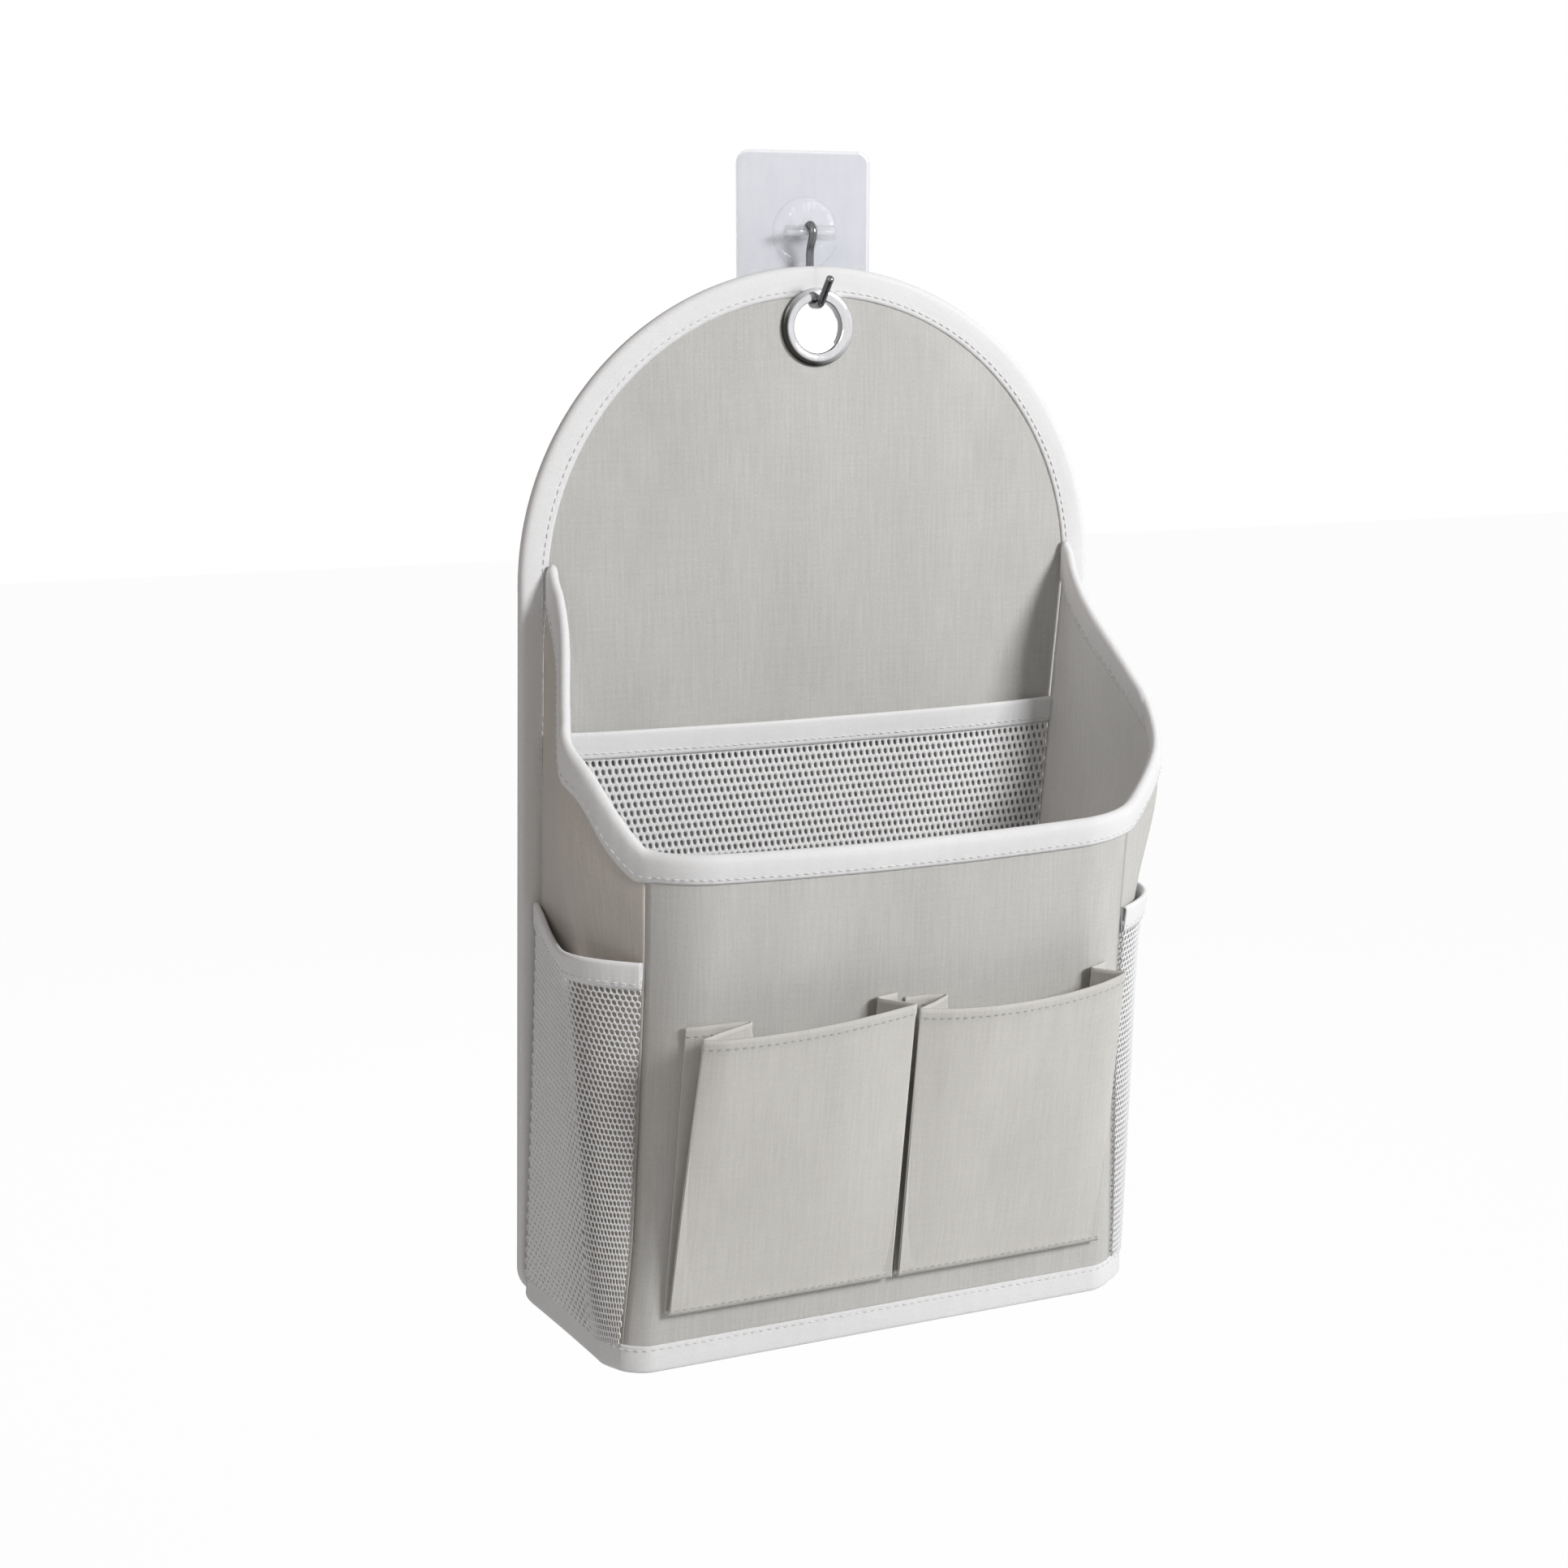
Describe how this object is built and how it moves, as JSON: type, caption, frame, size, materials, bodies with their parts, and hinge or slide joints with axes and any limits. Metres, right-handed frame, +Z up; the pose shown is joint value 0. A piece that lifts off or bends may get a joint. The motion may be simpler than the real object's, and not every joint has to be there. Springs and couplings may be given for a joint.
{
  "type": "hanging wall organizer",
  "caption": "Arched fabric wall organizer with a deep open pocket, net pockets and pleated front pockets, hung by its eyelet on a hinged wire hook with a clear adhesive pad.",
  "frame": {"origin": "centre of the adhesive pad's back face, on the wall", "axes": "+Z up, +Y into the wall, so the organizer's front faces -Y, +X to the right seen from the front"},
  "size_m": [0.2548, 0.1137, 0.4417],
  "materials": {
    "film": "clear double-sided adhesive film",
    "clear_plastic": "clear moulded plastic, polished",
    "steel": "drawn steel wire, smooth",
    "eyelet_metal": "plated metal, polished",
    "linen": "linen-look woven fabric, matte",
    "lining": "plain woven lining, matte",
    "board": "stiffening board, hidden",
    "tape": "white woven binding tape, matte",
    "net": "knitted mesh, matte"
  },
  "bodies": {
    "wall_pad": {"adhesive_film": "film", "hook_pad": "clear_plastic", "hook_boss": "clear_plastic", "hook_axle_pin": "steel"},
    "hook": {"wire_hook": "steel"},
    "organizer": {"back_front_fabric": "linen", "back_board": "board", "back_rear_fabric": "linen", "back_binding": "tape", "eyelet": "eyelet_metal", "eyelet_washer": "eyelet_metal", "left_side_wall": "linen", "right_side_wall": "linen", "front_panel": "linen", "front_board": "board", "front_lining": "lining", "base_panel": "linen", "base_board": "board", "rim_binding": "tape", "base_binding": "tape", "inner_net": "net", "inner_net_binding": "tape", "left_side_net": "net", "left_side_net_binding": "tape", "left_front_pocket": "linen", "right_side_net": "net", "right_side_net_binding": "tape", "right_front_pocket": "linen"}
  },
  "joints": [
    {"name": "hook_flip", "type": "hinge", "parent": "wall_pad", "child": "hook", "pos_m": [0, -0.00775, -0.003], "axis": [-1, 0, 0], "range_deg": [0, 90]},
    {"name": "organizer_swing", "type": "hinge", "parent": "hook", "child": "organizer", "pos_m": [0, -0.0137, -0.0297], "axis": [0, 1, 0], "range_deg": [-30, 30]}
  ]
}
